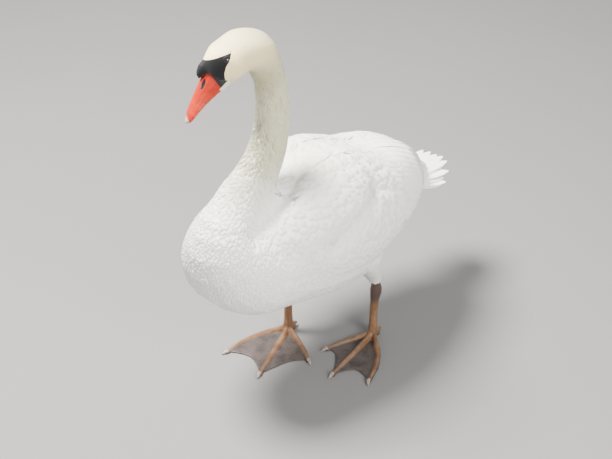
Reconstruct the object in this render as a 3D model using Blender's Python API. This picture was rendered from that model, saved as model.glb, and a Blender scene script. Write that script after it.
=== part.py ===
"""A mute swan standing still, life size, as a set of closed solids.

Metres, +Z up. The swan faces -Y and its left side is +X. Places are first given as (forward,
left, up) from the floor midway between the two feet. The finished bird is moved at the end, so
that the origin is on the floor under the middle of its box.
"""

import math

import bmesh
import bpy
from mathutils import Matrix, Vector

# ---------------------------------------------------------------- driving dimensions
GAP = 0.0003                 # clearance between neighbouring solids
RING_POINTS = 20             # points round a section of the trunk, neck and head
RING_STEPS = 2               # sections to each interval between stations
FOLD = 0.004                 # radius left open in the folds at the neck's two ends

HEAD_PITCH = -42.0           # the bill's line, degrees above the horizontal
HEAD_YAW = -20.0             # the head turned to the swan's right
HEAD_ROLL = 12.0             # the crown leaned to the swan's right
BILL_BASE = (0.264, -0.019, 0.671)
THROAT = (0.208, 0.000, 0.664)         # the fold under the head, which the nape turns about
KNOB_PLACE = (0.006, 0.0, 0.0205)
KNOB_SIZE = (0.0135, 0.0085, 0.0105)
EYE_PLACE = (-0.033, 0.0212, 0.0125)   # from the bill's base, in the head's frame
EYE_RADIUS = 0.0066

LEG_SIDE = 0.068             # the feet stand this far out from the middle
FOOT_LEFT = (-0.050, LEG_SIDE)
FOOT_RIGHT = (0.050, -LEG_SIDE)
TOE_HEIGHT = 0.0088
WEB_LOW, WEB_HIGH = 0.0010, 0.0034
TOES = {                     # length without the claw
    "inner": 0.104,
    "middle": 0.146,
    "outer": 0.139,
}
LEFT_TOE_TURNS = {"inner": -23.0, "middle": 7.0, "outer": 36.0}
RIGHT_TOE_TURNS = {"inner": 65.0, "middle": 20.0, "outer": -18.0}
TOE_BOW = {"inner": 0.004, "middle": 0.0, "outer": 0.014}   # how far a toe curves outward
CLAW_LENGTH = 0.015

TAIL_FEATHERS = 11
TAIL_LENGTH = 0.155
TAIL_SPREAD = 33.0           # degrees each side

# Stations of the trunk from the tail's root forward, each
# (forward, up, pitch of the section's normal, half width, height above, depth below).
TRUNK_STATIONS = (
    (-0.275, 0.270, 18, 0.017, 0.010, 0.017),
    (-0.243, 0.278, 17, 0.036, 0.022, 0.034),
    (-0.200, 0.289, 14, 0.053, 0.042, 0.060),
    (-0.150, 0.298, 12, 0.069, 0.068, 0.088),
    (-0.095, 0.305, 10, 0.089, 0.090, 0.124),
    (-0.030, 0.311, 8, 0.111, 0.108, 0.150),
    (0.030, 0.314, 6, 0.122, 0.116, 0.152),
    (0.090, 0.318, 8, 0.123, 0.114, 0.141),
    (0.132, 0.320, 13, 0.119, 0.107, 0.127),
)
NECK_ROOT = (0.187, 0.409)   # the fold where the neck leaves the back
BREAST_STATIONS = (          # pitch of the section, half width, reach from the fold to the breast
    (25, 0.113, 0.197),
    (50, 0.097, 0.188),
    (75, 0.071, 0.157),
    (99, 0.0510, 0.120),
)
NECK_STATIONS = (
    (0.225, 0.440, 118, 0.0440, 0.0440, 0.0440),
    (0.203, 0.461, 130, 0.0390, 0.0385, 0.0385),
    (0.181, 0.487, 130, 0.0350, 0.0345, 0.0345),
    (0.165, 0.519, 115, 0.0324, 0.0322, 0.0322),
    (0.157, 0.556, 100, 0.0304, 0.0303, 0.0303),
    (0.156, 0.597, 88, 0.0286, 0.0288, 0.0288),
    (0.159, 0.634, 80, 0.0280, 0.0280, 0.0280),
)
NAPE_STATIONS = (            # pitch, yaw, roll, half width, reach from the throat to the nape
    (66, -3, 2, 0.0284, 0.060),
    (38, -8, 5, 0.0298, 0.064),
    (10, -13, 8, 0.0306, 0.068),
    (-18, -17, 10, 0.0302, 0.073),
)
HEAD_STATIONS = (            # forward, up, half width, above, below, in the head's frame
    (-0.033, 0.000, 0.0282, 0.0385, 0.0350),
    (-0.022, 0.000, 0.0256, 0.0368, 0.0315),
    (-0.010, 0.000, 0.0220, 0.0320, 0.0255),
    (0.001, 0.000, 0.0185, 0.0245, 0.0200),
)


def place(forward, left, up):
    """A point of the bird's own frame in Blender's."""
    return Vector((left, -forward, up))


# ---------------------------------------------------------------- small tools
parts = bpy.data.collections.new("mute_swan")
cutters = bpy.data.collections.new("cutters")


def clear_scene():
    for obj in list(bpy.data.objects):
        bpy.data.objects.remove(obj)
    bpy.context.scene.collection.children.link(parts)
    bpy.context.scene.collection.children.link(cutters)


def material(name, colour, roughness):
    made = bpy.data.materials.new(name)
    made.use_nodes = True
    surface = made.node_tree.nodes["Principled BSDF"]
    surface.inputs["Base Color"].default_value = (*colour, 1.0)
    surface.inputs["Roughness"].default_value = roughness
    surface.inputs["Metallic"].default_value = 0.0
    return made


def new_object(name, bm, look, collection):
    """A mesh object in triangles, so that a bent face is cut the same way as it is built."""
    bmesh.ops.recalc_face_normals(bm, faces=bm.faces)
    bmesh.ops.triangulate(bm, faces=bm.faces)
    mesh = bpy.data.meshes.new(name)
    bm.to_mesh(mesh)
    bm.free()
    mesh.shade_smooth()
    obj = bpy.data.objects.new(name, mesh)
    if look:
        mesh.materials.append(look)
    collection.objects.link(obj)
    return obj


def add_part(name, bm, look):
    """A finished bmesh as a piece of the bird."""
    return new_object(name, bm, look, parts)


def add_cutter(name, bm):
    """A helper shape that takes part in a Boolean and isn't part of the bird."""
    cutter = new_object(name, bm, None, cutters)
    cutter.hide_render = True
    cutter.display_type = "WIRE"
    return cutter


def spline(rows, steps):
    """Catmull-Rom rows between the given rows, with `steps` of them to each interval."""
    out = []
    last = len(rows) - 1
    for i in range(last):
        before, here = rows[max(i - 1, 0)], rows[i]
        there, after = rows[i + 1], rows[min(i + 2, last)]
        for k in range(steps):
            t = k / steps
            out.append(tuple(
                0.5 * (2 * q + (r - p) * t + (2 * p - 5 * q + 4 * r - s) * t * t
                       + (3 * q - p - 3 * r + s) * t ** 3)
                for p, q, r, s in zip(before, here, there, after)
            ))
    out.append(tuple(rows[-1]))
    return out


def loft(rings, crescent=False):
    """A closed bmesh through rings that all have the same number of points. The ends of a
    crescent are closed by a strip, and the others from their middle."""
    bm = bmesh.new()
    rows = [[bm.verts.new(p) for p in ring] for ring in rings]
    count = len(rows[0])
    for low, high in zip(rows, rows[1:]):
        for i in range(count):
            j = (i + 1) % count
            bm.faces.new((low[i], low[j], high[j], high[i]))
    for row in (rows[0], rows[-1]):
        if crescent:
            bm.faces.new((row[0], row[1], row[-1]))
            for i in range(1, count // 2 - 1):
                bm.faces.new((row[i], row[i + 1], row[-i - 1], row[-i]))
            bm.faces.new((row[count // 2 - 1], row[count // 2], row[count // 2 + 1]))
            continue
        centre = bm.verts.new(sum((v.co for v in row), Vector()) / count)
        for i in range(count):
            bm.faces.new((row[i], row[(i + 1) % count], centre))
    return bm


def axes_of(pitch, yaw, roll=0.0):
    """The normal, dorsal and left directions of a section."""
    p, y, r = math.radians(pitch), math.radians(yaw), math.radians(roll)
    normal = place(math.cos(p) * math.cos(y), math.cos(p) * math.sin(y), math.sin(p))
    left = place(-math.sin(y), math.cos(y), 0.0)
    dorsal = place(-math.sin(p) * math.cos(y), -math.sin(p) * math.sin(y), math.cos(p))
    rolled_left = left * math.cos(r) + dorsal * math.sin(r)
    rolled_dorsal = dorsal * math.cos(r) - left * math.sin(r)
    return normal, rolled_dorsal, rolled_left


def signed_power(value, power):
    return math.copysign(abs(value) ** power, value)


def section(row, shift=0.0, count=RING_POINTS):
    """The points of one body section: forward, left, up, pitch, yaw, roll, half width, height
    above, depth below and squareness. shift moves it along its normal."""
    forward, left, up, pitch, yaw, roll, width, above, below, square = row
    normal, dorsal, side = axes_of(pitch, yaw, roll)
    centre = place(forward, left, up) + normal * shift
    points = []
    for i in range(count):
        turn = 2 * math.pi * (i + 0.5) / count
        across = signed_power(math.cos(turn), 2 / square) * width
        tall = signed_power(math.sin(turn), 2 / square)
        tall *= above if tall > 0 else below
        points.append(centre + side * across + dorsal * tall)
    return points


def bmesh_of(obj):
    bm = bmesh.new()
    bm.from_mesh(obj.data)
    return bm


def inflated(obj, by=GAP):
    """A cutter a little larger than a solid."""
    bm = bmesh_of(obj)
    bm.normal_update()
    moves = [(v, v.normal * by) for v in bm.verts]
    for v, move in moves:
        v.co += move
    return add_cutter("room_for_" + obj.name, bm)


def keep_largest(bm):
    """Drops the crumbs that a cut leaves beside the main body."""
    unseen, bodies = set(bm.verts), []
    while unseen:
        stack = [unseen.pop()]
        body = []
        while stack:
            v = stack.pop()
            body.append(v)
            for edge in v.link_edges:
                other = edge.other_vert(v)
                if other in unseen:
                    unseen.discard(other)
                    stack.append(other)
        spans = [max(v.co[k] for v in body) - min(v.co[k] for v in body) for k in range(3)]
        bodies.append((sum(spans), body))
    bodies.sort(key=lambda entry: entry[0])
    crumbs = [v for span, body in bodies[:-1] for v in body]
    bmesh.ops.delete(bm, geom=crumbs, context="VERTS")


def combine(obj, others, operation):
    """Applies one Boolean after another and cleans each result."""
    for other in others:
        modifier = obj.modifiers.new(operation.lower(), "BOOLEAN")
        modifier.operation = operation
        modifier.solver = "EXACT"
        modifier.object = other
        bpy.context.view_layer.update()
        graph = bpy.context.evaluated_depsgraph_get()
        mesh = bpy.data.meshes.new_from_object(obj.evaluated_get(graph), depsgraph=graph)
        obj.modifiers.clear()
        old = obj.data
        obj.data = mesh
        bpy.data.meshes.remove(old)
        mesh.name = obj.name
        bm = bmesh_of(obj)
        bmesh.ops.remove_doubles(bm, verts=bm.verts, dist=0.000002)
        keep_largest(bm)
        bmesh.ops.recalc_face_normals(bm, faces=bm.faces)
        bm.to_mesh(mesh)
        bm.free()
    return obj


def make_room(obj, *rooms):
    """Cuts the neighbours' shapes, with their clearance, out of a solid."""
    return combine(obj, rooms, "DIFFERENCE")


def mirrored(obj, name):
    """The same solid on the swan's other side."""
    bm = bmesh_of(obj)
    bmesh.ops.scale(bm, vec=(-1, 1, 1), verts=bm.verts)
    return add_part(name, bm, obj.data.materials[0])


# ---------------------------------------------------------------- body, neck and head
def head_axes():
    return axes_of(HEAD_PITCH, HEAD_YAW, HEAD_ROLL)


def head_point(forward, left, up):
    """A point given from the bill's base along the head's own axes."""
    normal, dorsal, side = head_axes()
    return place(*BILL_BASE) + normal * forward + side * left + dorsal * up


def body_rows():
    """Full rows for each length of the body, from the tail's root to the bill."""
    trunk = [(f, 0.0, z, p, 0.0, 0.0, w, a, b, 2.45) for f, z, p, w, a, b in TRUNK_STATIONS]
    breast = []
    for pitch, width, reach in spline(BREAST_STATIONS, RING_STEPS):
        angle = math.radians(pitch)
        forward = NECK_ROOT[0] + math.sin(angle) * (FOLD + reach / 2)
        up = NECK_ROOT[1] - math.cos(angle) * (FOLD + reach / 2)
        breast.append((forward, 0.0, up, pitch, 0.0, 0.0, width, reach / 2, reach / 2, 2.15))
    neck = [(f, 0.0, z, p, 0.0, 0.0, w, a, b, 2.0) for f, z, p, w, a, b in NECK_STATIONS]
    nape = []
    for pitch, yaw, roll, width, reach in spline(NAPE_STATIONS, RING_STEPS):
        centre = place(*THROAT) + axes_of(pitch, yaw, roll)[1] * (FOLD + reach / 2)
        nape.append((-centre.y, centre.x, centre.z, pitch, yaw, roll,
                     width, reach / 2, reach / 2, 2.0))
    face = []
    for forward, up, width, above, below in HEAD_STATIONS:
        centre = head_point(forward, 0.0, up)
        face.append((-centre.y, centre.x, centre.z, HEAD_PITCH, HEAD_YAW, HEAD_ROLL,
                     width, above, below, 2.1))
    return (spline(trunk, RING_STEPS), breast, spline(neck, RING_STEPS), nape,
            spline(face, RING_STEPS))


def body_piece(name, rows, first, last, look):
    """One length of the body between two rows, with a hair of clearance at each cut."""
    rings = [section(row) for row in rows[first:last + 1]]
    if first > 0:
        rings[0] = section(rows[first], GAP / 2)
    if last + 1 < len(rows):
        rings[-1] = section(rows[last], -GAP / 2)
    return add_part(name, loft(rings), look)


def build_body(white, cream):
    trunk, breast, neck, nape, face = body_rows()
    rows = trunk + breast + neck + nape + face
    base = len(trunk) + len(breast) - 1
    third = len(neck) // 3
    jaw = base + len(neck) + 2
    return {
        "trunk": body_piece("trunk", rows, 0, base, white),
        "neck_base": body_piece("neck_base", rows, base, base + third, cream),
        "neck_middle": body_piece("neck_middle", rows, base + third, base + 2 * third, cream),
        "neck_top": body_piece("neck_top", rows, base + 2 * third, jaw, cream),
        "head": body_piece("head", rows, jaw, len(rows) - 1, cream),
    }


# ---------------------------------------------------------------- bill, mask and eyes
BILL_UPPER = (   # forward, half width, height of the ridge, level of the cutting edge
    (-0.012, 0.0190, 0.0190, -0.0175),
    (0.000, 0.0180, 0.0195, -0.0165),
    (0.012, 0.0162, 0.0170, -0.0150),
    (0.025, 0.0146, 0.0130, -0.0140),
    (0.040, 0.0138, 0.0080, -0.0135),
    (0.055, 0.0140, 0.0028, -0.0135),
    (0.068, 0.0140, -0.0024, -0.0145),
    (0.076, 0.0118, -0.0068, -0.0155),
    (0.0810, 0.0070, -0.0112, -0.0164),
)
BILL_LOWER = (   # forward, half width, level of the top, depth
    (-0.014, 0.0150, -0.0178, 0.0085),
    (0.000, 0.0140, -0.0168, 0.0080),
    (0.020, 0.0112, -0.0146, 0.0068),
    (0.042, 0.0098, -0.0138, 0.0050),
    (0.060, 0.0102, -0.0140, 0.0040),
    (0.072, 0.0088, -0.0152, 0.0028),
    (0.0765, 0.0050, -0.0160, 0.0016),
)
MASK_OUTLINE = (  # the black patch from the side: forward and up in the head's frame
    (-0.0430, 0.0150), (-0.0330, 0.0225), (-0.0080, 0.0330), (0.0300, 0.0440),
    (0.0300, -0.0100), (0.0020, -0.0300), (-0.0105, -0.0300), (-0.0140, -0.0200),
    (-0.0150, -0.0090), (-0.0220, -0.0010), (-0.0330, 0.0065),
)


def bill_section(row):
    """A section of the upper bill: flat below, a rounded ridge above."""
    forward, width, ridge, edge = row
    points = []
    for i in range(9):
        turn = math.pi * i / 8
        across = math.cos(turn)
        rise = math.sin(turn) ** 0.9
        narrowed = width * signed_power(across, 0.85) * (1 - 0.16 * rise)
        points.append(head_point(forward, narrowed, edge + (ridge - edge) * rise))
    for share in (-0.6, -0.2, 0.2, 0.6):
        points.append(head_point(forward, share * width, edge + 0.0005))
    return points


def lower_bill_section(row):
    forward, width, top, depth = row
    points = []
    for i in range(9):
        turn = math.pi * i / 8
        points.append(head_point(forward, width * math.cos(turn), top - depth * math.sin(turn)))
    for share in (-0.5, 0.0, 0.5):
        points.append(head_point(forward, share * width, top))
    return points


def ellipsoid(centre, axes, radii, segments, rings):
    bm = bmesh.new()
    bmesh.ops.create_uvsphere(bm, u_segments=segments, v_segments=rings, radius=1.0)
    for v in bm.verts:
        x, y, z = v.co.x * radii[0], v.co.y * radii[1], v.co.z * radii[2]
        v.co = centre + axes[0] * x + axes[1] * y + axes[2] * z
    return bm


def mask_prism(name, grow):
    """The mask's outline as a bar across the head, its sides moved out by grow."""
    corners = [Vector(corner) for corner in MASK_OUTLINE]
    count = len(corners)
    moved = []
    for i, corner in enumerate(corners):
        a = (corner - corners[i - 1]).normalized()
        b = (corners[(i + 1) % count] - corner).normalized()
        out = Vector((-a.y - b.y, a.x + b.x)).normalized()
        moved.append(corner + out * (grow / max(out.dot(Vector((-a.y, a.x))), 0.5)))
    rims = [[head_point(c.x, left, c.y) for c in moved] for left in (0.06, -0.06)]
    bm = bmesh.new()
    near, far = [[bm.verts.new(p) for p in rim] for rim in rims]
    for i in range(count):
        j = (i + 1) % count
        bm.faces.new((near[i], near[j], far[j], far[i]))
    bm.faces.new(near)
    bm.faces.new(far)
    return add_cutter(name, bm)


def build_face(head, colours):
    """The bill, its nail, the black mask with the knob, and the eyes, let into the head."""
    normal, dorsal, side = head_axes()
    upper = add_part("bill_upper", loft([bill_section(row) for row in BILL_UPPER]),
                     colours["bill"])
    lower = add_part("bill_lower", loft([lower_bill_section(row) for row in BILL_LOWER]),
                     colours["bill"])
    nail = add_part("bill_nail", ellipsoid(head_point(0.0765, 0, -0.0140), (normal, side, dorsal),
                                           (0.0085, 0.0058, 0.0052), 12, 8), colours["nail"])
    eyes = []
    for name, sign in (("eye_left", 1), ("eye_right", -1)):
        f, l, u = EYE_PLACE
        centre = head_point(f, sign * l, u)
        radii = (EYE_RADIUS, EYE_RADIUS, EYE_RADIUS)
        eyes.append(add_part(name, ellipsoid(centre, (normal, dorsal, side), radii, 12, 7),
                             colours["eye"]))
    knob_centre = head_point(*KNOB_PLACE)
    mask = add_part("mask", bmesh_of(inflated(head, 0.0009)), colours["black"])
    combine(mask, [mask_prism("mask_outline", 0.0)], "INTERSECT")
    knob = add_cutter("knob", ellipsoid(knob_centre, (normal, side, dorsal), KNOB_SIZE, 12, 7))
    combine(mask, [knob], "UNION")
    rooms = [inflated(piece) for piece in (upper, lower, *eyes)]
    nail_room = inflated(nail)
    make_room(mask, *rooms)
    room = mask_prism("mask_room", GAP)
    knob_room = add_cutter("knob_room", ellipsoid(knob_centre, (normal, side, dorsal),
                                                  [r + GAP for r in KNOB_SIZE], 12, 7))
    make_room(upper, nail_room)
    make_room(lower, nail_room, rooms[0])
    make_room(head, room, knob_room, *rooms)


# ---------------------------------------------------------------- wings
WING_ARC = 11
WING_STATIONS = (   # forward, up, half width, above, below, highest and lowest angle, thickness
    (0.246, 0.350, 0.070, 0.040, 0.040, 40, -10, 0.006),
    (0.226, 0.348, 0.096, 0.074, 0.071, 57, -19, 0.019),
    (0.175, 0.338, 0.121, 0.113, 0.113, 68, -29, 0.028),
    (0.100, 0.326, 0.135, 0.142, 0.142, 87, -34, 0.030),
    (0.020, 0.317, 0.134, 0.146, 0.149, 88.5, -34, 0.030),
    (-0.060, 0.309, 0.121, 0.119, 0.138, 88.5, -30, 0.029),
    (-0.135, 0.301, 0.097, 0.101, 0.106, 88.5, -25, 0.026),
    (-0.190, 0.294, 0.070, 0.075, 0.072, 88.5, -18, 0.021),
    (-0.222, 0.291, 0.041, 0.046, 0.040, 88.5, -11, 0.015),
    (-0.234, 0.289, 0.026, 0.027, 0.023, 88.5, -8, 0.010),
)


def wing_section(row):
    """A crescent round the flank: the outer arc from the back down, then the inner one."""
    forward, up, width, above, below, highest, lowest, thick = row
    outer, inner = [], []
    for i in range(WING_ARC):
        share = i / (WING_ARC - 1)
        turn = math.radians(highest + (lowest - highest) * share)
        c, s = math.cos(turn), math.sin(turn)
        edge = (4 * share * (1 - share)) ** 0.4
        insets = (thick * 0.3 * (1 - edge), thick * (0.3 + 0.7 * edge))
        for arc, inset in zip((outer, inner), insets):
            across = signed_power(c, 0.93) * (width - inset)
            tall = signed_power(s, 0.93) * ((above if s > 0 else below) - inset)
            arc.append(place(forward, across, up + tall))
    return outer + inner[-2:0:-1]


def build_wing(look):
    rows = spline(WING_STATIONS, 2)
    return add_part("wing_left", loft([wing_section(row) for row in rows], True), look)


# ---------------------------------------------------------------- tail
def tail_reach(share):
    """How far the tail reaches across its spread: a rounded fan, scalloped by feather tips."""
    scallop = abs(math.sin(math.pi * TAIL_FEATHERS * (share + 1) / 2))
    return TAIL_LENGTH * (1 - 0.26 * share * share) - 0.011 * (1 - scallop)


def build_tail(look):
    """A shallow roofed fan of tail feathers as one thin solid."""
    steps, rows = TAIL_FEATHERS * 3, 4
    root, slope = place(-0.172, 0.0, 0.298), math.radians(-6.0)
    back = place(-math.cos(slope), 0.0, math.sin(slope))
    up = place(math.sin(slope), 0.0, math.cos(slope))
    side = place(0.0, 1.0, 0.0)
    rings = []
    for i in range(steps + 1):
        share = 2 * i / steps - 1
        angle = math.radians(TAIL_SPREAD * share)
        ray = back * math.cos(angle) + side * math.sin(angle)
        tops, lows = [], []
        for k in range(rows):
            t = k / (rows - 1)
            run = 0.030 + (tail_reach(share) - 0.030) * t
            at = root + ray * run - up * 0.036 * share * share * (0.4 + 0.6 * t)
            thick = 0.0011 + 0.0060 * (1 - t)
            tops.append(at + up * thick)
            lows.append(at - up * thick)
        rings.append(tops + lows[::-1])
    return add_part("tail", loft(rings), look)


# ---------------------------------------------------------------- legs and feet
def tube(stations, count=12):
    """A loft along places, each (forward, left, up, pitch, half across, half fore and aft)."""
    rows = [(f, l, z, p, 0.0, 0.0, a, b, b, 2.0) for f, l, z, p, a, b in stations]
    return loft([section(row, 0.0, count) for row in rows])


def build_leg(side_name, foot, sign, colours):
    """The thigh's feathered end, the ankle and the bare shank of one side."""
    f, l = foot
    hip_f = 0.4 * f + 0.012
    thigh = add_part("thigh_" + side_name, tube(spline((
        (hip_f + 0.004, l * 0.98, 0.245, 94, 0.038, 0.052),
        (hip_f, l, 0.212, 98, 0.034, 0.046),
        (hip_f * 0.6 + f * 0.4, l, 0.182, 104, 0.026, 0.032),
        (hip_f * 0.25 + f * 0.75, l + sign * 0.001, 0.158, 106, 0.0175, 0.0200),
        (f + 0.002, l + sign * 0.002, 0.140, 100, 0.0115, 0.0130),
        (f + 0.001, l + sign * 0.002, 0.133, 96, 0.0085, 0.0100),
    ), 1), 16), colours["white"])
    shank = add_part("leg_" + side_name, tube(spline((
        (f + 0.001, l + sign * 0.002, 0.1500, 92, 0.0066, 0.0080),
        (f - 0.001, l + sign * 0.002, 0.1340, 92, 0.0080, 0.0096),
        (f - 0.002, l + sign * 0.002, 0.1200, 90, 0.0104, 0.0130),
        (f - 0.002, l + sign * 0.002, 0.1080, 88, 0.0100, 0.0125),
        (f - 0.001, l + sign * 0.001, 0.0940, 88, 0.0078, 0.0100),
        (f, l, 0.0640, 88, 0.0070, 0.0092),
        (f, l, 0.0380, 88, 0.0073, 0.0094),
        (f, l, 0.0220, 86, 0.0090, 0.0104),
        (f + 0.002, l, 0.0100, 84, 0.0100, 0.0105),
    ), 1)), colours["leg"])
    return thigh, shank


def toe_point(base, toe, turns, share):
    """A place on the floor along a toe's curved middle line."""
    a = math.radians(turns[toe])
    bow = math.copysign(TOE_BOW[toe], turns[toe] - turns["middle"])
    along = place(math.cos(a), math.sin(a), 0.0)
    across = place(-math.sin(a), math.cos(a), 0.0)
    corner = place(base[0], base[1], 0.0)
    return corner + along * (TOES[toe] * share) + across * (bow * math.sin(math.pi * share))


def toe_sections(base, toe, turns, sink):
    """Sections along one toe, with swellings at its joints. They reach below the floor by sink,
    and the whole foot's sole is cut flat afterwards."""
    a = math.radians(turns[toe])
    across = place(-math.sin(a), math.cos(a), 0.0)
    rings = []
    steps = 7
    for k in range(steps + 1):
        t = k / steps
        swell = 1 + 0.16 * math.cos(2 * math.pi * 3 * t)
        width = (0.0068 - 0.0022 * t) * swell
        tall = (TOE_HEIGHT + 0.0095 * (1 - t) ** 3) * (1 - 0.30 * t) * (0.9 + 0.1 * swell)
        at = toe_point(base, toe, turns, t)
        ring = []
        for i in range(6):
            bend = math.pi * i / 5
            rise = 0.16 * tall + 0.84 * tall * math.sin(bend)
            ring.append(at + across * (width * math.cos(bend)) + Vector((0, 0, rise)))
        ring.append(at - across * width * 0.72 - Vector((0, 0, sink)))
        ring.append(at + across * width * 0.72 - Vector((0, 0, sink)))
        rings.append(ring)
    return rings


def web_plate(base, turns):
    """The skin between the toes, with scalloped front edges."""
    order = ("inner", "middle", "outer")
    corner = place(base[0], base[1], 0.0)
    rim = [corner]
    rim += [toe_point(base, "inner", turns, k / 6) for k in range(1, 6)]
    for first, second in zip(order, order[1:]):
        for k in range(9):
            t = k / 8
            turn = math.radians(turns[first] + (turns[second] - turns[first]) * t)
            reach = (TOES[first] + (TOES[second] - TOES[first]) * t) * 0.97
            reach *= 1 - 0.20 * math.sin(math.pi * t) ** 0.8
            if t == 0 and first != "inner":
                continue
            rim.append(corner + place(math.cos(turn), math.sin(turn), 0.0) * reach)
    rim += [toe_point(base, "outer", turns, k / 6) for k in range(5, 0, -1)]
    bm = bmesh.new()
    count = len(rim)
    low = [bm.verts.new(p + Vector((0, 0, WEB_LOW))) for p in rim]
    high = [bm.verts.new(p + Vector((0, 0, WEB_HIGH))) for p in rim]
    for i in range(count):
        j = (i + 1) % count
        bm.faces.new((low[i], low[j], high[j], high[i]))
    for i in range(1, count - 1):
        bm.faces.new((low[0], low[i], low[i + 1]))
        bm.faces.new((high[0], high[i], high[i + 1]))
    return bm


def claw(name, base, turn, length, look):
    """A short curved claw in front of a toe's end."""
    a = math.radians(turn)
    along = place(math.cos(a), math.sin(a), 0.0)
    across = place(-math.sin(a), math.cos(a), 0.0)
    root = place(base[0], base[1], 0.0) + along * (length - 0.004)
    rings = []
    for k in range(5):
        t = k / 4
        size = 0.0040 * (1 - 0.86 * t * t)
        middle = root + along * (CLAW_LENGTH * t) + Vector((0, 0, 0.0052 - 0.0040 * t * t))
        ring = []
        for i in range(7):
            bend = 2 * math.pi * (i + 0.5) / 7
            rise = max(middle.z + size * 0.9 * math.sin(bend), 0.0003)
            point = middle + across * (size * math.cos(bend))
            ring.append(Vector((point.x, point.y, rise)))
        rings.append(ring)
    return add_part(name, loft(rings), look)


def build_foot(side_name, base, turns, shank, colours):
    """Toes, web, heel and hind toe as one solid with a flat sole, and the claws."""
    toes = []
    for i, toe in enumerate(TOES):
        rings = toe_sections(base, toe, turns, 0.0020 + 0.0004 * i)
        toes.append(add_cutter("toe_" + toe, loft(rings)))
    foot = add_part("foot_" + side_name, web_plate(base, turns), colours["foot"])
    f, l = base
    heel = add_cutter("heel", tube((
        (f - 0.010, l, -0.0035, 90, 0.0068, 0.0076),
        (f - 0.010, l, 0.0050, 90, 0.0080, 0.0100),
        (f - 0.007, l, 0.0110, 84, 0.0080, 0.0105),
        (f - 0.003, l, 0.0170, 82, 0.0070, 0.0095),
    ), 10))
    hind = add_cutter("hind_toe", tube((
        (f - 0.006, l, 0.0140, 150, 0.0044, 0.0044),
        (f - 0.015, l, 0.0120, 180, 0.0042, 0.0042),
        (f - 0.022, l, 0.0085, 205, 0.0032, 0.0034),
        (f - 0.026, l, 0.0050, 225, 0.0013, 0.0013),
    ), 8))
    combine(foot, toes + [heel, hind], "UNION")
    flatten_sole(foot)
    claws = [claw(f"claw_{toe}_{side_name}", base, turns[toe], TOES[toe], colours["claw"])
             for toe in TOES]
    make_room(foot, inflated(shank), *[inflated(one) for one in claws])
    return foot


def flatten_sole(foot):
    """Cuts the foot off flat at the floor."""
    bm = bmesh_of(foot)
    geometry = bm.verts[:] + bm.edges[:] + bm.faces[:]
    bmesh.ops.bisect_plane(bm, geom=geometry, plane_co=(0, 0, 0), plane_no=(0, 0, -1),
                           clear_outer=True)
    rim = [edge for edge in bm.edges if edge.is_boundary]
    bmesh.ops.edgeloop_fill(bm, edges=rim)
    bmesh.ops.triangulate(bm, faces=[face for face in bm.faces if len(face.verts) > 4])
    bmesh.ops.recalc_face_normals(bm, faces=bm.faces)
    bm.to_mesh(foot.data)
    bm.free()


# ---------------------------------------------------------------- build
def settle(name):
    """Hangs every piece on one empty, each with its origin at its own middle, and moves the
    bird so that the middle of its box stands over the origin."""
    pieces = list(parts.objects)
    places = [v.co for obj in pieces for v in obj.data.vertices]
    x, y = [(min(p[k] for p in places) + max(p[k] for p in places)) / 2 for k in (0, 1)]
    anchor = bpy.data.objects.new(name, None)
    parts.objects.link(anchor)
    for obj in pieces:
        own = [v.co for v in obj.data.vertices]
        centre = Vector([(min(p[k] for p in own) + max(p[k] for p in own)) / 2
                         for k in range(3)])
        obj.data.transform(Matrix.Translation(-centre))
        obj.location = centre - Vector((x, y, 0.0))
        obj.parent = anchor


def main():
    clear_scene()
    colours = {
        "white": material("white_plumage", (0.93, 0.92, 0.89), 0.75),
        "cream": material("cream_plumage", (0.86, 0.84, 0.76), 0.8),
        "bill": material("orange_bill", (0.86, 0.16, 0.05), 0.42),
        "nail": material("pale_nail", (0.80, 0.42, 0.34), 0.4),
        "black": material("black_mask", (0.012, 0.012, 0.014), 0.5),
        "eye": material("dark_eye", (0.02, 0.012, 0.01), 0.08),
        "leg": material("tan_leg", (0.30, 0.19, 0.12), 0.6),
        "foot": material("tan_web", (0.27, 0.18, 0.13), 0.62),
        "claw": material("pale_claw", (0.45, 0.36, 0.27), 0.5),
    }
    body = build_body(colours["white"], colours["cream"])
    build_face(body["head"], colours)
    wing = build_wing(colours["white"])
    other = mirrored(wing, "wing_right")
    tail = build_tail(colours["white"])
    thigh_l, shank_l = build_leg("left", FOOT_LEFT, 1, colours)
    thigh_r, shank_r = build_leg("right", FOOT_RIGHT, -1, colours)
    wing_rooms = [inflated(other), inflated(wing)]
    thigh_rooms = [inflated(thigh_l), inflated(thigh_r)]
    shank_rooms = [inflated(shank_l), inflated(shank_r)]
    trunk_room = inflated(body["trunk"])
    make_room(thigh_l, shank_rooms[0], wing_rooms[1])
    make_room(thigh_r, shank_rooms[1], wing_rooms[0])
    make_room(tail, *wing_rooms, trunk_room)
    make_room(body["trunk"], *wing_rooms, *thigh_rooms)
    build_foot("left", FOOT_LEFT, LEFT_TOE_TURNS, shank_l, colours)
    build_foot("right", FOOT_RIGHT, RIGHT_TOE_TURNS, shank_r, colours)
    settle("mute_swan_anchor")


main()
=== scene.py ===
# %% [markdown]
# # A standing mute swan, dressed feather by feather
# The lesson starts from a measured model of the bird: closed solids for its trunk, neck, head,
# wings, tail, legs and feet. They give every outline and size. What is added here is what makes
# it a bird: one skin without seams, many thousands of feathers, a modelled bill and eyes, scaly
# legs, and the light. Loading comes first, because every place below is measured on it.

# %% Load the measured swan
import heapq
import math

import bmesh
import bpy
import numpy as np
from mathutils import Matrix, Vector
from mathutils.bvhtree import BVHTree


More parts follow.
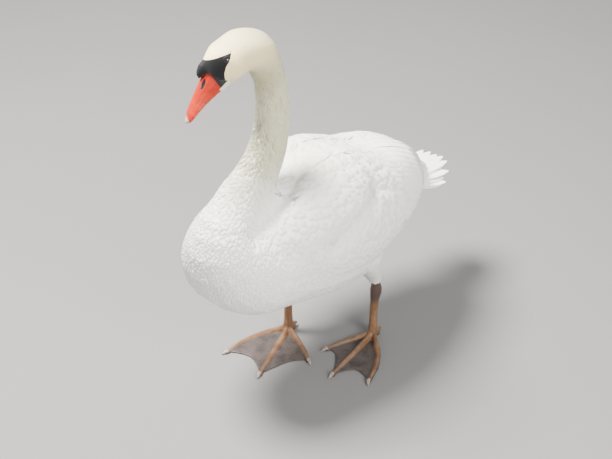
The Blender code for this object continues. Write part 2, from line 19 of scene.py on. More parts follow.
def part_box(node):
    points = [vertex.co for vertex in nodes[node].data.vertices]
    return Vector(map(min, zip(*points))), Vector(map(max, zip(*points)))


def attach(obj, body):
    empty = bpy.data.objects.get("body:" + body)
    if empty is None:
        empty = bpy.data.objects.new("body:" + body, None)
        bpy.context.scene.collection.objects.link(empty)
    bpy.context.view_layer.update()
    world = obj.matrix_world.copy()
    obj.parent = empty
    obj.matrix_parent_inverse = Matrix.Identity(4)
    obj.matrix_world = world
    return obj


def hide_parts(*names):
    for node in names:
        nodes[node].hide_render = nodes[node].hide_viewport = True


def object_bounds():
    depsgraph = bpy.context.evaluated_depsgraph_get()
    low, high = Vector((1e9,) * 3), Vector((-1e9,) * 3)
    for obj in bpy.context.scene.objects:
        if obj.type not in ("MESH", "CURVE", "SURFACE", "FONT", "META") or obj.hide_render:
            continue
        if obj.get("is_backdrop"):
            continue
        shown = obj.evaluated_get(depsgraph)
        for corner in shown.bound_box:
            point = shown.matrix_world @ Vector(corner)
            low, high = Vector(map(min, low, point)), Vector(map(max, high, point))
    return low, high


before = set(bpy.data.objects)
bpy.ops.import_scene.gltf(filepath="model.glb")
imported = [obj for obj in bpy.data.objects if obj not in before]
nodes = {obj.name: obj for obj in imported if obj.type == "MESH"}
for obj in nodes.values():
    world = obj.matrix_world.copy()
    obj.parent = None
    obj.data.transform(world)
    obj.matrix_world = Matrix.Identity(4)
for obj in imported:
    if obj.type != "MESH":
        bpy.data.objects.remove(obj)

cad_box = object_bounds()
print("solids:", len(nodes), "height:", round(cad_box[1].z, 4))

# %% [markdown]
# ## Finding the head's own directions
# The head is turned and tilted, so "forward" on the bill isn't an axis of the room. The two eyes
# lie on the head's left-right line, and the bill's nail lies ahead of them. Those three places
# are enough to build the head's three directions, and a point can then be given as (ahead,
# left, above) from the root of the bill, which stays right if the head is ever turned.

# %% Measure the head's directions
def middle(node):
    low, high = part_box(node)
    return (low + high) / 2


EYE_RADIUS = (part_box("eye_left")[1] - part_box("eye_left")[0]).z / 2
between_eyes = (middle("eye_left") + middle("eye_right")) / 2
leftward = (middle("eye_left") - middle("eye_right")).normalized()
to_nail = (middle("bill_nail") - between_eyes).normalized()
dip = math.atan2(0.0265, 0.1095)
square_to_it = to_nail.cross(leftward)
ahead = to_nail * math.cos(dip) + square_to_it * math.sin(dip)
upward = square_to_it * math.cos(dip) - to_nail * math.sin(dip)
bill_root = between_eyes + ahead * 0.033 - upward * 0.0125
head_turn = np.array([ahead, leftward, upward])


def in_head(places):
    """Places of the room as (ahead, left, above) from the bill's root."""
    return (np.asarray(places) - np.array(bill_root)) @ head_turn.T


def on_head(forward, left, up):
    return bill_root + ahead * forward + leftward * left + upward * up


print("bill's line dips", round(math.degrees(math.asin(-ahead.z)), 1), "degrees")

# %% [markdown]
# ## Small tools for meshes
# A solid from the measured model is a loose pile of triangles, so a copy is merged before it
# is worked on. Several copies are swollen by a hair, so that they overlap, and a voxel remesh
# then melts them into one closed surface. Sculpting by hand could do the same, but melting
# keeps the measured outline and leaves no seam where the solids met.

# %% Copy, melt and read meshes
def merged(names, grow):
    """One bmesh with merged copies of solids, each swollen by grow, or by its own amount."""
    bm = bmesh.new()
    for name in names:
        one = bmesh.new()
        one.from_mesh(nodes[name].data)
        bmesh.ops.remove_doubles(one, verts=one.verts, dist=0.00001)
        one.normal_update()
        amount = grow[name] if isinstance(grow, dict) else grow
        moves = [(v, v.normal * amount) for v in one.verts]
        for v, move in moves:
            v.co += move
        held = bpy.data.meshes.new("held")
        one.to_mesh(held)
        one.free()
        bm.from_mesh(held)
        bpy.data.meshes.remove(held)
    return bm


def new_piece(name, bm, finish):
    mesh = bpy.data.meshes.new(name)
    bm.to_mesh(mesh)
    bm.free()
    mesh.shade_smooth()
    piece = bpy.data.objects.new(name, mesh)
    bpy.context.scene.collection.objects.link(piece)
    if finish:
        mesh.materials.append(finish)
    return piece


def melted(bm, voxel, smoothing):
    """The same solids as one closed surface of small squares, smoothed."""
    lump = new_piece("lump", bm, None)
    melt = lump.modifiers.new("melt", "REMESH")
    melt.mode = "VOXEL"
    melt.voxel_size = voxel
    bpy.context.view_layer.update()
    graph = bpy.context.evaluated_depsgraph_get()
    mesh = bpy.data.meshes.new_from_object(lump.evaluated_get(graph), depsgraph=graph)
    bpy.data.objects.remove(lump)
    out = bmesh.new()
    out.from_mesh(mesh)
    bpy.data.meshes.remove(mesh)
    smooth(out, out.verts, smoothing)
    return out


def keep_largest(bm):
    """Takes away closed pockets inside a melted lump."""
    left = set(bm.verts)
    lumps = []
    while left:
        front = [left.pop()]
        lump = set(front)
        while front:
            near = [e.other_vert(v) for v in front for e in v.link_edges]
            front = [v for v in set(near) if v in left]
            left.difference_update(front)
            lump.update(front)
        lumps.append(lump)
    lumps.sort(key=len)
    for lump in lumps[:-1]:
        bmesh.ops.delete(bm, geom=list(lump), context="VERTS")
    return len(lumps) - 1


def smooth(bm, verts, times):
    for _ in range(times):
        bmesh.ops.smooth_vert(bm, verts=list(verts), factor=0.5, use_axis_x=True,
                              use_axis_y=True, use_axis_z=True)


def read(collection, field, width, kind=np.float64):
    values = np.zeros(len(collection) * width, kind)
    collection.foreach_get(field, values)
    return values.reshape(-1, width) if width > 1 else values


def unit(vectors):
    return vectors / np.maximum(np.linalg.norm(vectors, axis=-1, keepdims=True), 1e-9)


# %% [markdown]
# ## Shader maths as plain sums
# A finish is easier to read as a sum than as a picture of nodes. This small class holds one
# socket. Adding, subtracting, multiplying or dividing it makes the Math node that does it, and
# one method makes any other node from its settings and its inputs.

# %% A socket that can be used in sums
class Wire:
    """One output socket of a material, which can be used in Python sums."""

    def __init__(self, tree, socket):
        self.tree, self.socket = tree, socket

    def node(self, kind, settings=None, inputs=None, output=0):
        made = self.tree.nodes.new(kind)
        for key, value in (settings or {}).items():
            if key == "stops":
                ramp = made.color_ramp
                while len(ramp.elements) < len(value):
                    ramp.elements.new(0.5)
                for stop, (place, colour) in zip(ramp.elements, value):
                    stop.position = place
                    stop.color = (*colour, 1.0)
            else:
                setattr(made, key, value)
        for key, value in (inputs or {}).items():
            if isinstance(value, Wire):
                self.tree.links.new(value.socket, made.inputs[key])
            else:
                made.inputs[key].default_value = value
        return Wire(self.tree, made.outputs[output])

    def sum(self, operation, *values, clamp=False):
        return self.node("ShaderNodeMath", {"operation": operation, "use_clamp": clamp},
                         dict(enumerate(values)))

    def __add__(self, other):
        return self.sum("ADD", self, other)

    def __sub__(self, other):
        return self.sum("SUBTRACT", self, other)

    def __rsub__(self, other):
        return self.sum("SUBTRACT", other, self)

    def __mul__(self, other):
        return self.sum("MULTIPLY", self, other)

    def __truediv__(self, other):
        return self.sum("DIVIDE", self, other)

    __radd__ = __add__
    __rmul__ = __mul__

    def step(self, low, high):
        """0 below low and 1 above high, with a smooth rise between. low may be the larger."""
        turn = low > high
        start, stop = min(low, high), max(low, high)
        inputs = {"Value": self, "From Min": start, "From Max": stop}
        rise = self.node("ShaderNodeMapRange", {"interpolation_type": "SMOOTHSTEP"}, inputs)
        return 1 - rise if turn else rise

    def blend(self, first, second):
        """From the first colour to the second as this socket goes from 0 to 1."""
        return self.node("ShaderNodeMix", {"data_type": "RGBA"},
                         {0: self, 6: colour_of(first), 7: colour_of(second)}, 2)

    def along(self, direction):
        """This vector's length along a direction, as a number."""
        return self.node("ShaderNodeVectorMath", {"operation": "DOT_PRODUCT"},
                         {0: self, 1: tuple(direction)}, 1)

    def noise(self, scale, detail=3.0, rough=0.55, stretch=(1.0, 1.0, 1.0)):
        spot = self.node("ShaderNodeMapping", {}, {"Vector": self, "Scale": stretch})
        return self.node("ShaderNodeTexNoise", {},
                         {"Vector": spot, "Scale": scale, "Detail": detail, "Roughness": rough})

    def relief(self, height, strength):
        return self.node("ShaderNodeBump", {},
                         {"Height": self, "Strength": strength, "Distance": height})


def colour_of(value):
    return value if isinstance(value, Wire) else (*value, 1.0)


def new_finish(name, roughness, **constants):
    """A material with its constants set, and the wire of its Object coordinates."""
    made = bpy.data.materials.new(name)
    made.use_nodes = True
    surface = made.node_tree.nodes["Principled BSDF"]
    surface.inputs["Roughness"].default_value = roughness
    for key, value in constants.items():
        surface.inputs[key.replace("_", " ")].default_value = value
    start = Wire(made.node_tree, None)
    return made, surface, start.node("ShaderNodeTexCoord", output="Object")


def feed(surface, socket, wire):
    surface.id_data.links.new(wire.socket, surface.inputs[socket])


def head_wires(place):
    """Three wires: how far ahead, left and above the bill's root a place is."""
    moved = place.node("ShaderNodeVectorMath", {"operation": "SUBTRACT"},
                       {0: place, 1: tuple(bill_root)})
    return moved.along(ahead), moved.along(leftward), moved.along(upward)


print("shader helper ready")

# %% [markdown]
# ## The plumage's colour
# An adult mute swan is white, but never evenly. The crown and cheeks carry a warm cream stain,
# the neck is greyer with fine streaks along it, and the pit of the throat is brownish; the same
# brown, spread wider under the cheek, is painted shade there. Towards the bottom the body turns a
# little darker. Skin and feathers read the same pattern from their place on the bird, so no gap
# between feathers shows another colour. The bare black patch of the face is an attribute of the
# skin, measured further down.

# %% Plumage finish for skin and feathers
SNOW = (0.93, 0.92, 0.895)
CREAM = (0.95, 0.76, 0.38)
NECK = (0.64, 0.62, 0.38)
STREAK = (0.33, 0.29, 0.18)
THROAT_STAIN_AND_SHADE = (0.36, 0.32, 0.17)
neck_top_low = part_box("neck_top")[0].z
neck_base_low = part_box("neck_base")[0].z
throat = on_head(-0.0390, -0.0080, -0.0690)


def plumage(name, bare=False, vane=False):
    made, surface, place = new_finish(name, 0.62, Specular_IOR_Level=0.25, Sheen_Weight=0.12,
                                      Sheen_Roughness=0.5)
    ahead_w, left_w, above_w = head_wires(place)
    up = place.along((0, 0, 1))
    back = place.along((0, 1, 0))
    soft = place.noise(14.0, 3.0)
    neckness = up.step(neck_base_low + 0.01, neck_base_low + 0.10) * back.step(0.02, -0.05)
    crown = up.step(middle("head").z - 0.070, middle("head").z + 0.022)
    streaks = place.noise(150.0, 3.0, 0.6, (1.0, 1.0, 0.22)).step(0.50, 0.66)
    blotch = place.noise(32.0, 2.0).step(0.40, 0.70)
    colour = (soft * 0.35).blend(SNOW, (0.86, 0.85, 0.81))
    colour = (neckness * 0.9).blend(colour, NECK)
    colour = (neckness * (1 - crown * 0.8) * streaks * (0.35 + blotch * 0.55)).blend(colour, STREAK)
    forehead = ahead_w.step(-0.080, -0.015)
    colour = (crown * (0.45 + soft * 0.4 + forehead * 0.4)).blend(colour, CREAM)
    # The throat's brownish stain, spread wide enough to darken under the cheek as painted shade.
    pit = place.node("ShaderNodeVectorMath", {"operation": "DISTANCE"},
                     {0: place, 1: tuple(throat)}, 1)
    colour = (pit.step(0.056, 0.008) * 0.75).blend(colour, THROAT_STAIN_AND_SHADE)
    # Towards the bottom, below about 0.27 m, the colour turns a little darker and greyer.
    darker_below = up.step(0.27, 0.19)
    colour = (darker_below * (0.30 + soft * 0.4)).blend(colour, (0.74, 0.72, 0.65))
    if bare:
        edge = place.node("ShaderNodeAttribute", {"attribute_name": "bare"}, output="Fac")
        blackness = edge.step(-0.0004, 0.0004)
        colour = blackness.blend(colour, (0.005, 0.005, 0.006))
        feed(surface, "Roughness", blackness * -0.18 + 0.62)
        pores = place.noise(900.0, 2.0)
        feed(surface, "Normal", (pores * blackness).relief(0.0006, 0.5))
    else:
        # The tone attribute dims some feathers at random and darkens each towards its root as
        # painted shade.
        tone = place.node("ShaderNodeAttribute", {"attribute_name": "tone"}, output="Fac")
        colour = (tone * 0.16).blend(colour, (0.80, 0.79, 0.75))
    feed(surface, "Base Color", colour)
    return made


skin_finish = plumage("plumage_skin", bare=True)
down_finish = plumage("plumage_small")
vane_finish = plumage("plumage_wing")
print("plumage finishes:", len(bpy.data.materials))

# %% [markdown]
# ## Scaly legs and webs
# The shanks and toes are covered in small plates, tan to orange-brown, with a dark knob at the
# ankle joint. The webs between the toes are thin, wrinkled and greyer. Height above the floor
# tells toe from web, because the webs are only a few millimetres thick.

# %% Leg and web finish
def leg_material():
    made, surface, place = new_finish("scaly_legs", 0.5, Specular_IOR_Level=0.4)
    up = place.along((0, 0, 1))
    plates = place.node("ShaderNodeTexVoronoi", {"feature": "DISTANCE_TO_EDGE"},
                        {"Vector": place, "Scale": 420.0})
    patchy = place.noise(38.0, 4.0)
    grain = place.noise(240.0, 3.0)
    shank = patchy.step(0.35, 0.65).blend((0.165, 0.080, 0.036), (0.27, 0.150, 0.078))
    shank = (grain.step(0.5, 0.75) * 0.5).blend(shank, (0.085, 0.042, 0.022))
    knee = (up + (patchy - 0.5) * 0.05).step(0.074, 0.104) * 0.88
    shank = knee.blend(shank, (0.050, 0.036, 0.031))
    web = patchy.step(0.3, 0.7).blend((0.030, 0.025, 0.024), (0.080, 0.060, 0.053))
    web = (grain.step(0.45, 0.7) * 0.35).blend(web, (0.125, 0.088, 0.070))
    thin = (up + (grain - 0.5) * 0.0012).step(0.0056, 0.0040)
    colour = thin.blend(shank, web)
    seam = plates.step(0.0, 0.10)
    colour = ((1 - seam) * (1 - thin) * 0.45).blend(colour, (0.10, 0.045, 0.025))
    feed(surface, "Base Color", colour)
    feed(surface, "Roughness", patchy * 0.25 + 0.34)
    feed(surface, "Normal", (seam * (1 - thin * 0.7) + grain * 0.6).relief(0.0009, 0.7))
    return made


leg_finish = leg_material()
print("leg finish ready")

# %% [markdown]
# ## One skin for the whole body
# The flesh of trunk, neck, head, wings and thighs is one surface on a bird, so their solids are
# melted together. They are swollen by up to 7 mm before melting and shrunk by as much
# afterwards, and a hull drawn round both wings, just inside them, stands for the back between
# them. That fills the narrow gaps between wing and back. Squares of about 4 mm are enough for
# the body. The face needs more, so its squares are cut in four and smoothed again.

# %% Melt the body and refine the face
FLESH = ("trunk", "neck_base", "neck_middle", "neck_top", "head", "mask", "wing_left",
         "wing_right", "thigh_left", "thigh_right")
SWELL = {name: 0.0065 for name in FLESH}
SWELL.update(head=0.0006, mask=0.0006, neck_top=0.0015, neck_middle=0.0040,
             thigh_left=0.0020, thigh_right=0.0020)
corners, triangles, owner = [], [], []
for k, name in enumerate(FLESH):
    solid = nodes[name].data
    start = len(corners)
    corners += [v.co.copy() for v in solid.vertices]
    triangles += [[start + i for i in p.vertices] for p in solid.polygons]
    owner += [k] * len(solid.polygons)
solids_tree = BVHTree.FromPolygons(corners, triangles)

lumps = merged(FLESH, SWELL)
brow = bmesh.ops.create_uvsphere(lumps, u_segments=24, v_segments=16, radius=1.0)["verts"]
seat = Matrix.Translation(on_head(-0.0005, 0, 0.0275)) @ Matrix(head_turn.T.tolist()).to_4x4()
bmesh.ops.transform(lumps, matrix=seat @ Matrix.Diagonal((0.0115, 0.0080, 0.0070, 1)),
                    verts=brow)
filler = bmesh.new()
mantle_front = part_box("wing_left")[0].y + 0.035
spine = middle("trunk").x
for name in ("wing_left", "wing_right"):
    for v in nodes[name].data.vertices:
        if v.co.y > mantle_front:
            filler.verts.new(v.co)
for v in nodes["trunk"].data.vertices:
    if abs(v.co.x - spine) < 0.035 and v.co.z > 0.36 and v.co.y > mantle_front - 0.05:
        filler.verts.new(v.co)
bmesh.ops.remove_doubles(filler, verts=filler.verts, dist=0.014)
hull = bmesh.ops.convex_hull(filler, input=filler.verts)
spare = {g for g in hull["geom_interior"] + hull["geom_unused"]
         if isinstance(g, bmesh.types.BMVert)}
bmesh.ops.delete(filler, geom=list(spare), context="VERTS")
bmesh.ops.recalc_face_normals(filler, faces=filler.faces)
filler.normal_update()
moves = [(v, v.normal * 0.004) for v in filler.verts]
for v, move in moves:
    v.co -= move
held = bpy.data.meshes.new("held")
filler.to_mesh(held)
filler.free()
lumps.from_mesh(held)
bpy.data.meshes.remove(held)

body = melted(lumps, 0.0042, 2)
print("pockets taken away:", keep_largest(body))
body.normal_update()
amounts = np.array([SWELL[FLESH[owner[solids_tree.find_nearest(v.co)[2]]]]
                    for v in body.verts])
body.verts.index_update()
ends = np.array([[v.index for v in e.verts] for e in body.edges])
for _ in range(12):
    total, count = amounts.copy(), np.bincount(ends.ravel(), minlength=len(amounts)) + 1
    np.add.at(total, ends[:, 0], amounts[ends[:, 1]])
    np.add.at(total, ends[:, 1], amounts[ends[:, 0]])
    amounts = total / count
moves = [(v, v.normal * float(a)) for v, a in zip(body.verts, amounts)]
for v, move in moves:
    v.co -= move
calm = [v for v in body.verts if in_head(v.co)[0] < -0.045]
smooth(body, calm, 12)

# Narrow hollows, where no feather could lie, are filled up; humps stay as they are.
body.normal_update()
places = np.array([v.co[:] for v in body.verts])
outs = np.array([v.normal[:] for v in body.verts])
degree = np.bincount(ends.ravel(), minlength=len(places))[:, None]
flank = (places[:, 2] > 0.20) & (places[:, 2] < 0.50)
for _ in range(40):
    total = np.zeros_like(places)
    np.add.at(total, ends[:, 0], places[ends[:, 1]])
    np.add.at(total, ends[:, 1], places[ends[:, 0]])
    lift = np.einsum("nk,nk->n", total / degree - places, outs)
    places += outs * (0.5 * np.where(flank, np.maximum(lift, 0), 0))[:, None]
for v, place in zip(body.verts, places):
    v.co = place
face_edges = [e for e in body.edges
              if all(in_head(v.co)[0] > -0.052 and v.co.z > 0.6 for v in e.verts)]
bmesh.ops.subdivide_edges(body, edges=face_edges, cuts=1, use_grid_fill=True)
face_verts = [v for v in body.verts if in_head(v.co)[0] > -0.054 and v.co.z > 0.6]
smooth(body, face_verts, 2)
bmesh.ops.triangulate(body, faces=[f for f in body.faces if len(f.verts) > 4])
print("body squares:", len(body.faces))

# %% Join the legs and unwrap the skin
LIMBS = ("leg_left", "leg_right", "foot_left", "foot_right")
limbs = melted(merged(LIMBS, 0.0002), 0.0015, 2)
for face in limbs.faces:
    face.material_index = 1
held = bpy.data.meshes.new("held")
limbs.to_mesh(held)
limbs.free()
body.from_mesh(held)
bpy.data.meshes.remove(held)
skin = new_piece("skin", body, skin_finish)
skin.data.materials.append(leg_finish)
skin.data.uv_layers.new(name="OFBake")
bpy.context.view_layer.objects.active = skin
skin.select_set(True)
bpy.ops.object.mode_set(mode="EDIT")
bpy.ops.mesh.select_all(action="SELECT")
bpy.ops.uv.smart_project(angle_limit=math.radians(66), island_margin=0.001)
bpy.ops.object.mode_set(mode="OBJECT")
skin.select_set(False)
print("skin squares with legs:", len(skin.data.polygons))

# %% [markdown]
# ## Measuring the skin
# Feathers need to know four things at every place: which part of the bird it is, how deep the
# coat is there, which way feathers lie, and whether the skin is bare. The part is the nearest
# solid. Depth and feather size come from a short table, blurred over the skin so that nothing
# changes in a jump.

# %% Which part of the bird each point of the skin belongs to
COAT = {               # coat depth and feather length, in metres
    "head": (0.0028, 0.0088), "mask": (0.0012, 0.0060), "neck_top": (0.0040, 0.0125),
    "neck_middle": (0.0050, 0.0170), "neck_base": (0.0060, 0.0230),
    "trunk": (0.0080, 0.0380), "wing_left": (0.0085, 0.0520), "wing_right": (0.0085, 0.0520),
    "thigh_left": (0.0050, 0.0180), "thigh_right": (0.0050, 0.0180),
}
mesh = skin.data
spots = read(mesh.vertices, "co", 3)
outward = read(mesh.vertices, "normal", 3)
pairs = read(mesh.edges, "vertices", 2, np.int32)


def spread(values, times):
    """Averages values with their neighbours on the skin, again and again."""
    count = np.bincount(pairs.ravel(), minlength=len(spots)) + 1.0
    values = values.astype(float)
    for _ in range(times):
        total = values.copy()
        np.add.at(total, pairs[:, 0], values[pairs[:, 1]])
        np.add.at(total, pairs[:, 1], values[pairs[:, 0]])
        values = total / (count[:, None] if values.ndim > 1 else count)
    return values


on_body = np.zeros(len(spots), bool)
for p in mesh.polygons:
    if p.material_index == 0:
        on_body[list(p.vertices)] = True
part_of = np.array([owner[solids_tree.find_nearest(Vector(s))[2]] for s in spots])
part_of[~on_body] = -1
depth = np.array([COAT[FLESH[k]][0] if k >= 0 else 0.0 for k in part_of])
length = np.array([COAT[FLESH[k]][1] if k >= 0 else 0.01 for k in part_of])
back_share = np.clip((spots[:, 1] - cad_box[0].y) / (cad_box[1].y - cad_box[0].y), 0, 1)
on_trunk = np.isin(part_of, [FLESH.index("trunk")])
on_wing = np.isin(part_of, [FLESH.index("wing_left"), FLESH.index("wing_right")])
length[on_trunk] *= (0.46 + 0.85 * back_share)[on_trunk]
length[on_wing] *= (0.42 + 1.25 * back_share)[on_wing]
length = spread(length, 70)

# Where the flesh is thin, as along the wing's rear, the coat takes a third of its thickness.
square_corners = [list(p.vertices) for p in mesh.polygons]
whole_tree = BVHTree.FromPolygons([Vector(s) for s in spots], square_corners)
for i in np.nonzero(on_wing)[0]:
    inward = Vector(-outward[i])
    hit = whole_tree.ray_cast(Vector(spots[i]) + inward * 0.0008, inward, 0.05)
    if hit[0]:
        depth[i] = min(depth[i], 0.30 * hit[3])
depth = spread(depth, 25)
print("coat from", round(depth.min(), 4), "to", round(depth.max(), 4), "m deep")

# %% [markdown]
# ## The bare black patch
# From the eye to the bill a mute swan has no feathers but black skin. Seen from the side the
# patch is a wedge: a straight upper edge, a point behind the eye, and a rounded rear edge down
# to the corner of the mouth. The outline is drawn once in the head's directions. The signed
# distance to it is kept on the skin, so that the border stays sharp on coarse squares.

# %% Measure the distance to the patch's outline
PATCH = np.array([
    (-0.0465, 0.0140), (-0.0330, 0.0225), (-0.0080, 0.0335), (0.0300, 0.0440),
    (0.0300, -0.0150), (-0.0020, -0.0150), (-0.0065, -0.0125), (-0.0092, -0.0060),
    (-0.0142, 0.0008), (-0.0240, 0.0072), (-0.0350, 0.0095),
])


def patch_distance(places):
    """Above zero inside the bare patch, below zero outside, in metres."""
    local = in_head(places)
    at = local[:, [0, 2]]
    nearest = np.full(len(at), 9.0)
    inside = np.zeros(len(at), bool)
    for a, b in zip(PATCH, np.roll(PATCH, -1, axis=0)):
        run = b - a
        share = np.clip(((at - a) @ run) / (run @ run), 0, 1)
        nearest = np.minimum(nearest, np.linalg.norm(at - a - share[:, None] * run, axis=1))
        crosses = (a[1] > at[:, 1]) != (b[1] > at[:, 1])
        rise = b[1] - a[1] if b[1] != a[1] else 1e-12
        inside ^= crosses & (at[:, 0] < (b[0] - a[0]) * (at[:, 1] - a[1]) / rise + a[0])
    out = np.where(inside, nearest, -nearest)
    return np.where(np.linalg.norm(local, axis=1) > 0.09, -0.05, out)


bare = patch_distance(spots)
depth *= np.clip(-bare / 0.008, 0, 1) ** 0.6
print("bare points:", int((bare > 0).sum()))

# %% [markdown]
# ## Which way the feathers lie
# Feathers point away from the bill: back over the head, down the neck, over the breast and
# along the body to the tail. The shortest way over the skin from the bill gives just that. It
# is found as a road map finds a route, from point to point, and its slope is the feathers'
# direction.

# %% Walk over the skin from the bill
reach = [[] for _ in range(len(spots))]
ways = {tuple(sorted(e)) for e in pairs.tolist()}
for c in square_corners:
    if len(c) == 4:
        ways.add(tuple(sorted((c[0], c[2]))))
        ways.add(tuple(sorted((c[1], c[3]))))
ways = np.array(sorted(ways))
steps = np.linalg.norm(spots[ways[:, 0]] - spots[ways[:, 1]], axis=1)
for (a, b), step in zip(ways.tolist(), steps.tolist()):
    reach[a].append((b, step))
    reach[b].append((a, step))
walked = np.full(len(spots), np.inf)
from_root = np.linalg.norm(spots - np.array(bill_root), axis=1)
heap = [(from_root[i], int(i)) for i in np.nonzero(from_root < 0.024)[0]]
heapq.heapify(heap)
while heap:
    so_far, here = heapq.heappop(heap)
    if so_far >= walked[here]:
        continue
    walked[here] = so_far
    for there, step in reach[here]:
        if so_far + step < walked[there]:
            heapq.heappush(heap, (so_far + step, there))
walked[~np.isfinite(walked)] = 0.0
walked = spread(walked, 12)


def lie_of(values):
    """The direction in which values grow fastest over the skin."""
    step = spots[ways[:, 1]] - spots[ways[:, 0]]
    rise = (values[ways[:, 1]] - values[ways[:, 0]]) / np.maximum((step ** 2).sum(1), 1e-12)
    slope = np.zeros_like(spots)
    np.add.at(slope, ways[:, 0], step * rise[:, None])
    np.add.at(slope, ways[:, 1], step * rise[:, None])
    return unit(slope)


lie = lie_of(walked)
for _ in range(7):
    lie = spread(lie, 12)
    lie = unit(lie - outward * (lie * outward).sum(1, keepdims=True))
print("furthest feather from the bill:", round(float(walked.max()), 3), "m")

# %% Press the soft folds into the wings
wing_low, wing_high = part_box("wing_left")


def on_wing_side(along, up):
    """A place on the wing seen from the side, as shares of its box."""
    return np.array((wing_low.y + along * (wing_high.y - wing_low.y),
                     wing_low.z + up * (wing_high.z - wing_low.z)))


def near_line(at, line):
    best = np.full(len(at), 9.0)
    for a, b in zip(line, line[1:]):
        run = b - a
        share = np.clip(((at - a) @ run) / (run @ run), 0, 1)
        best = np.minimum(best, np.linalg.norm(at - a - share[:, None] * run, axis=1))
    return best


from_side = spots[:, 1:]
crease = [on_wing_side(*p) for p in ((0.50, 0.70), (0.45, 0.62), (0.33, 0.56), (0.22, 0.50))]
hollow = np.linalg.norm(from_side - on_wing_side(0.57, 0.72), axis=1)
seam = [on_wing_side(*p) for p in ((0.70, 0.88), (0.66, 0.60), (0.72, 0.36))]
fold = (0.0085 * np.exp(-(near_line(from_side, crease) / 0.018) ** 2)
        + 0.0060 * np.exp(-(hollow / 0.055) ** 2)
        + 0.0012 * np.exp(-(near_line(from_side, seam) / 0.012) ** 2))
fold *= spread(on_wing.astype(float), 20)

# The neck rests between the shoulders, with a deep fold on each side down to the breast.
wing_size = np.array(wing_high - wing_low)
neck_fold = [np.array(wing_low) + np.array(p) * wing_size
             for p in ((0.21, 0.24, 0.96), (0.26, 0.20, 0.93), (0.36, 0.10, 0.83),
                       (0.40, 0.02, 0.76), (0.44, -0.03, 0.74))]
for side in (1, -1):
    line = [np.array((spine + side * (p[0] - spine), p[1], p[2])) for p in neck_fold]
    fold += 0.0105 * np.exp(-(near_line(spots, line) / 0.016) ** 2)
spots = spots - outward * fold[:, None]
print("deepest fold:", round(float(fold.max()), 4), "m")

# %% Sink the skin by the coat's depth
skin_spots = spots - unit(spread(outward, 4)) * depth[:, None]
mesh.vertices.foreach_set("co", skin_spots.ravel())
mesh.update()
bare_layer = mesh.attributes.new("bare", "FLOAT", "POINT")
bare_layer.data.foreach_set("value", bare.astype(np.float32))
skin_outward = spread(read(mesh.vertices, "normal", 3), 3)
skin_tree = BVHTree.FromPolygons([Vector(s) for s in skin_spots], square_corners)
print("skin sunk under the coat")

# %% [markdown]
# ## How a feather is made
# Every small feather is the same closed spindle with four long edges: a flat diamond across,
# pointed at both ends. It starts as a coarse sphere, and the places of its points are then
# worked out all at once for thousands of feathers. Each feather's middle line is walked over
# the skin, so it follows the body. Its root is sunk in the skin, and its tip reaches the
# coat's surface on top of the next feathers, as tiles do on a roof.

# %% The spindle, and where its points go
def spindle(rings, edges=4):
    """Points as (along 0 to 1, across, over) and triangles of a closed spindle."""
    bm = bmesh.new()
    bmesh.ops.create_uvsphere(bm, u_segments=edges, v_segments=rings, radius=1.0)
    bmesh.ops.triangulate(bm, faces=bm.faces)
    points = np.array([v.co[:] for v in bm.verts])
    faces = np.array([[v.index for v in f.verts] for f in bm.faces])
    bm.free()
    along = (1 - points[:, 2]) / 2
    reach = np.sqrt(np.maximum(1 - points[:, 2] ** 2, 1e-9))
    across = np.where(reach > 0.01, points[:, 0] / reach, 0.0)
    over = np.where(reach > 0.01, points[:, 1] / reach, 0.0)
    return np.column_stack([along, across, over]), faces


face_corner = np.array([c[0] for c in square_corners])
face_count = np.array([len(c) for c in square_corners])


def per_face(values):
    flat = np.concatenate([values[c].mean(axis=0, keepdims=True) for c in square_corners])
    return flat


padded_corners = np.array([c if len(c) == 4 else c + [c[-1]] for c in square_corners])
face_lie = unit(lie[padded_corners].mean(axis=1))
face_out = unit(skin_outward[padded_corners].mean(axis=1))
face_depth = depth[padded_corners].mean(axis=1)
face_part = part_of[face_corner]
uv_layer = mesh.uv_layers["OFBake"]
uvs = read(uv_layer.uv, "vector", 2, np.float32)
loop_starts = read(mesh.polygons, "loop_start", 1, np.int32)
face_uv = uvs[loop_starts] * 0.5 + uvs[loop_starts + 2] * 0.5
print("spindle has", len(spindle(4)[1]), "triangles")


# %% Walk the middle lines of many feathers over the skin
def walk(roots, faces, lengths, stops, swing):
    """Places, outward directions, along directions and coat depths at each stop."""
    place, face = roots.copy(), faces.copy()
    places, outs, runs, deep = [], [], [], []
    before = 0.0
    for stop in stops:
        out = face_out[face]
        run = face_lie[face]
        run = unit(run * np.cos(swing)[:, None] + np.cross(out, run) * np.sin(swing)[:, None])
        stride = (lengths * (stop - before))[:, None]
        before = stop
        if stop > 0:
            moved = place + run * stride
            hits = [skin_tree.find_nearest(Vector(m)) for m in moved]
            found = np.array([h[0][:] for h in hits])
            face = np.array([h[2] for h in hits])
            off = np.linalg.norm(found - moved, axis=1) > 0.45 * stride[:, 0]
            place = np.where(off[:, None], moved, found)
            out = np.where(off[:, None], out, face_out[face])
            run = unit(run - out * (run * out).sum(1, keepdims=True))
        places.append(place)
        outs.append(out)
        runs.append(run)
        deep.append(face_depth[face])
    return [np.stack(v, axis=1) for v in (places, outs, runs, deep)]


